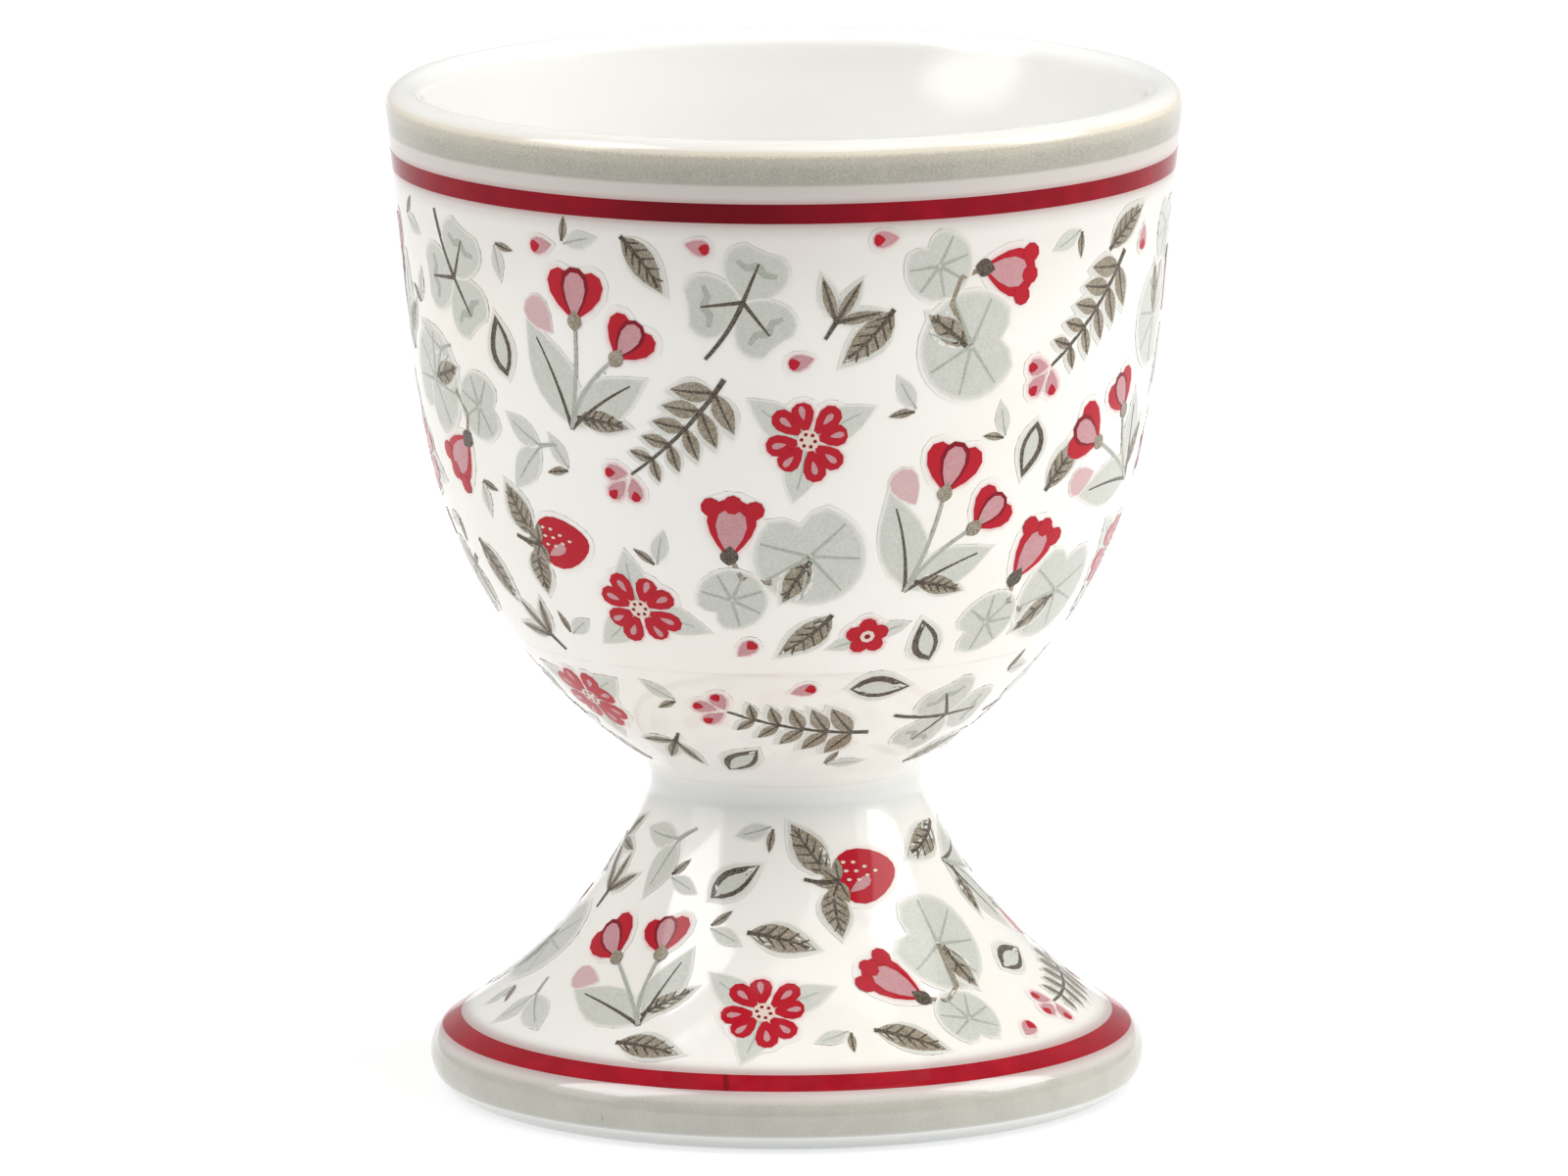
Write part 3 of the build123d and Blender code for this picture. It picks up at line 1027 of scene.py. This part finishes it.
stock = add_node(
    "GeometryNodeCollectionInfo",
    {"Collection": given["Motifs"], "Separate Children": True, "Reset Children": True},
)
facing = add_node("FunctionNodeAxisAngleToRotation", {"Axis": (0, 0, 1), "Angle": carried("turned")})
strewn = add_node(
    "GeometryNodeInstanceOnPoints",
    {
        "Points": given["Geometry"],
        "Instance": stock[0],
        "Pick Instance": True,
        "Instance Index": carried("kind", "INT"),
        "Rotation": facing[0],
        "Scale": vector_of(carried("size"), carried("size"), 1.0),
    },
)
flat = add_node("GeometryNodeRealizeInstances", {"Geometry": strewn[0]})
outline = add_node("GeometryNodeObjectInfo", {"Object": given["Outside"]})["Geometry"]
drawn = parts_of(add_node("GeometryNodeInputPosition")[0])
reached = sum_of(carried("along"), drawn["Y"])
below = add_node("GeometryNodeSampleCurve", {"Curves": outline, "Length": reached}, mode="LENGTH")
foot_point = parts_of(below["Position"])
slope = parts_of(below["Tangent"])
upward = product(slope["X"], -1.0)
angle = sum_of(carried("around"), figure("DIVIDE", drawn["X"], foot_point["X"]))
reach = sum_of(foot_point["X"], product(slope["Z"], drawn["Z"]))
level = sum_of(foot_point["Z"], product(upward, drawn["Z"]))
skin = about_axis(angle, slope["Z"], upward)
spot = about_axis(angle, reach, level)
kept = {"Geometry": flat[0], "Name": "skin", "Value": skin}
noted = add_node("GeometryNodeStoreNamedAttribute", kept, data_type="FLOAT_VECTOR")
laid = add_node("GeometryNodeSetPosition", {"Geometry": noted[0], "Position": spot})
end_tree(laid[0], given["Finish"])

print_inks, surface, place = new_glazed("print_inks", 0.15)
ink = add_node("ShaderNodeAttribute", attribute_name="ink")
strength = add_node("ShaderNodeAttribute", attribute_name="strength")["Fac"]
dots = rise(noise(place, dot_size, 2.0), 0.38, 0.62, 0.0, 0.62)
uneven = rise(noise(place, patch_width, 2.0), 0.3, 0.7, 0.0, 0.22)
missing = product(sum_of(dots, uneven), ink["Alpha"])
cover = product(strength, figure("SUBTRACT", 1.0, missing))
# The ground round the inks is the outside glaze colour, painted shade included.
drive(surface, "Base Color", mixed(cover, outside_tone(place), ink["Color"]))

outside_lengths = [0.0]
for a, b in zip(outside, outside[1:]):
    outside_lengths.append(outside_lengths[-1] + (b - a).length)


def length_at(height):
    """Length along the outside to a height above the foot's widest part."""
    for i, (a, b) in enumerate(zip(outside, outside[1:])):
        if a.y <= height < b.y:
            return outside_lengths[i] + (b - a).length * (height - a.y) / (b.y - a.y)


def on_cup(around, along, mark):
    """Place on the cup of a mark beside a spot at an angle and a length."""
    length = along + mark.y
    i = min(bisect(outside_lengths, length), len(outside) - 1)
    a = outside[i - 1]
    b = outside[i]
    point = a.lerp(b, (length - outside_lengths[i - 1]) / (b - a).length)
    angle = around + mark.x / point.x
    return Vector((point.x * sin(angle), -point.x * cos(angle), point.y))


def strew(low, high, kinds, seed):
    """Spots for tossed motifs, clear of each other and far from others of their kind."""
    draw = random.Random(seed)
    sizes = list(motif_sizes.values())
    spots = []
    taken = []
    middles = [[] for drawing in drawings]
    for kind in kinds:
        others = KDTree(len(taken))
        for i, point in enumerate(taken):
            others.insert(point, i)
        others.balance()
        cells = drawings[kind].cells()
        best = None
        for trial in range(tries):
            around = draw.uniform(0, tau)
            turned = draw.uniform(0, tau)
            size = sizes[kind] * draw.uniform(0.95, 1.05)
            turn_by = Matrix.Rotation(turned, 2) * size
            marks = [turn_by @ cell for cell in cells]
            levels = [mark.y for mark in marks]
            along = draw.uniform(low - min(levels), high - max(levels))
            covered = [on_cup(around, along, mark) for mark in marks]
            if taken and any(others.find(point)[2] < motif_gap for point in covered):
                continue
            middle = on_cup(around, along, Vector((0, 0)))
            alone = min(((middle - other).length for other in middles[kind]), default=cup_height)
            if best is None or alone > best[0]:
                best = (alone, (around, along, turned, size, kind), covered, middle)
        if best:
            spots.append(best[1])
            taken += best[2]
            middles[kind].append(best[3])
    return spots


def print_sheet(name, node, kinds, seed):
    """Printed sheet with its motifs wrapped onto the cup in the place of a node."""
    low, high = (length_at(height) for height in heights(node))
    motifs = strew(low, high, kinds, seed)
    piece = new_piece(name)
    piece.data.vertices.add(len(motifs))
    columns = list(zip(*motifs))
    for label, values in zip(("around", "along", "turned", "size"), columns):
        piece.data.attributes.new(label, "FLOAT", "POINT").data.foreach_set("value", values)
    piece.data.attributes.new("kind", "INT", "POINT").data.foreach_set("value", columns[4])
    path = section_curve(name + "_path", outside)
    run_tree(piece, wrapping, Outside=path, Motifs=motif_box, Finish=print_inks)
    bpy.data.objects.remove(path)
    normals = [tuple(item.vector) for item in piece.data.attributes["skin"].data]
    piece.data.normals_split_custom_set_from_vertices(normals)
    wears(piece, "floral_print", node)


large = [0, 1]
middling = [2, 3, 4, 5]
little = [6, 7, 8, 9, 10]
fallen = [11, 11, 12]
print_sheet("wall_sheet", "bowl_print", large * 9 + middling * 12 + little * 16 + fallen * 16, 11)
print_sheet("base_sheet", "bowl_base_print", middling * 5 + little * 6 + fallen * 6, 12)
print_sheet("foot_sheet", "foot_print", large * 4 + middling * 5 + little * 8 + fallen * 8, 13)

# Studio
# White glowing table in a tent of white cloth that is darker round the camera. Soft boxes stand left,
# right and above, two small spots shine into the hollow, and a long lens looks on from a metre away.
floor_reach = 2.0
table_tone = (0.45, 0.45, 0.45, 1.0)
table_glow = 0.60
tent_light = 0.64
box_distance = 0.9
spot_elevation = 35
warm_light = (1.0, 0.985, 0.95)
floor = new_piece("table")
corners = [(x * floor_reach, y * floor_reach, 0) for x, y in ((-1, -1), (1, -1), (1, 1), (-1, 1))]
floor.data.from_pydata(corners, [], [(0, 1, 2, 3)])
table_white, surface, place = new_finish("table_white")
surface.inputs["Base Color"].default_value = table_tone
surface.inputs["Roughness"].default_value = 0.9
surface.inputs["Emission Color"].default_value = (1, 1, 1, 1)
backward = parts_of(place)["Y"]
# The table's glow is painted light: a little brighter in a strip just in front of the cup and much
# dimmer far in front, so it lights the cup as a lamp would.
glow_strip_in_front = rise(backward, -44 * mm, -34 * mm, 0.08, 0.0)
glow_drop_far_front = rise(backward, -300 * mm, -55 * mm, -0.50, 0.0)
drive(surface, "Emission Strength", sum_of(sum_of(glow_strip_in_front, glow_drop_far_front), table_glow))
floor.data.materials.append(table_white)

world = bpy.data.worlds.new("studio_air")
world.use_nodes = True
Bench.tree = world.node_tree
air = world.node_tree.nodes["Background"]
air.inputs["Color"].default_value = (1, 1, 1, 1)
way = parts_of(add_node("ShaderNodeTexCoord")["Generated"])
ahead = rise(way["Y"], -0.95, -0.20, -0.60, 0.0)
dark = product(ahead, rise(way["Z"], 0.15, 0.60, 1.0, 0.0))
drive(air, "Strength", sum_of(dark, tent_light))
bpy.context.scene.world = world
bpy.context.scene.view_settings.view_transform = "Standard"


def set_lamp(name, lamp, azimuth, elevation, distance, aim):
    """Lamp aimed at a height on the axis. Azimuth 0 is the camera's side, 90 the right."""
    made = in_scene(name, lamp)
    a = radians(azimuth)
    e = radians(elevation)
    away = Vector((sin(a) * cos(e), -cos(a) * cos(e), sin(e)))
    made.location = Vector((0, 0, aim)) + away * distance
    made.rotation_euler = away.to_track_quat("Z", "Y").to_euler()
    return made


def soft_box(name, azimuth, elevation, width, height, radiance, colour=(1, 1, 1)):
    lamp = bpy.data.lights.new(name, "AREA")
    lamp.shape = "RECTANGLE"
    lamp.size = width
    lamp.size_y = height
    lamp.energy = radiance * pi * width * height
    lamp.color = colour
    return set_lamp(name, lamp, azimuth, elevation, box_distance, cup_height / 2)


soft_box("right_box", 80, 32, 0.50, 0.62, 1.6, warm_light)
soft_box("right_low_box", 75, 8, 0.40, 0.35, 4.6, warm_light).visible_glossy = False
soft_box("top_box", 50, 72, 0.60, 0.60, 1.5)
soft_box("left_box", -72, 36, 0.45, 0.72, 1.4, (1.0, 0.995, 0.98))
soft_box("left_sheen", -74, 49, 0.42, 0.55, 4.2).visible_diffuse = False
soft_box("right_sheen", 88, 38, 0.42, 0.55, 4.2).visible_diffuse = False
soft_box("left_foot_box", -80, 56, 0.40, 0.40, 2.2).visible_glossy = False
soft_box("right_foot_box", 85, 56, 0.40, 0.40, 1.2).visible_glossy = False


def inner_spot(name, watts, distance, cone, blend, azimuth, aim, wide):
    """Small spot that shines over the rim onto a place in the hollow."""
    lamp = bpy.data.lights.new(name, "SPOT")
    lamp.energy = watts
    lamp.spot_size = cone
    lamp.spot_blend = blend
    lamp.shadow_soft_size = 0.001
    made = set_lamp(name, lamp, azimuth, spot_elevation, distance, aim.z)
    made.location += Vector((aim.x, aim.y, 0))
    made.scale.x = wide
    made.visible_glossy = False


inner_spot("hollow_spot", 12, 1.2, 0.030, 0.7, 0, Vector((0, 20, 58)) * mm, 1.6)
inner_spot("window_spot", 0.45, 0.22, radians(1.0), 0.25, -15, Vector((12.4, 19.1, 62.6)) * mm, 2.0)

view_elevation = radians(10.283)
view_distance = 1.08289
view_aim = Vector((-0.0992 * mm, 0, 32.28 * mm))
view_roll = radians(-0.175)
focal_pixels = 17250.6
image_width = 1600
lens = bpy.data.cameras.new("long_lens")
lens.sensor_fit = "HORIZONTAL"
lens.sensor_width = 36.0
lens.lens = focal_pixels / image_width * lens.sensor_width
camera = in_scene("long_lens", lens)
camera.location = view_aim + Vector((0, -cos(view_elevation), sin(view_elevation))) * view_distance
tilt = Matrix.Rotation(pi / 2 - view_elevation, 3, "X") @ Matrix.Rotation(view_roll, 3, "Z")
camera.rotation_euler = tilt.to_euler()
bpy.context.scene.camera = camera
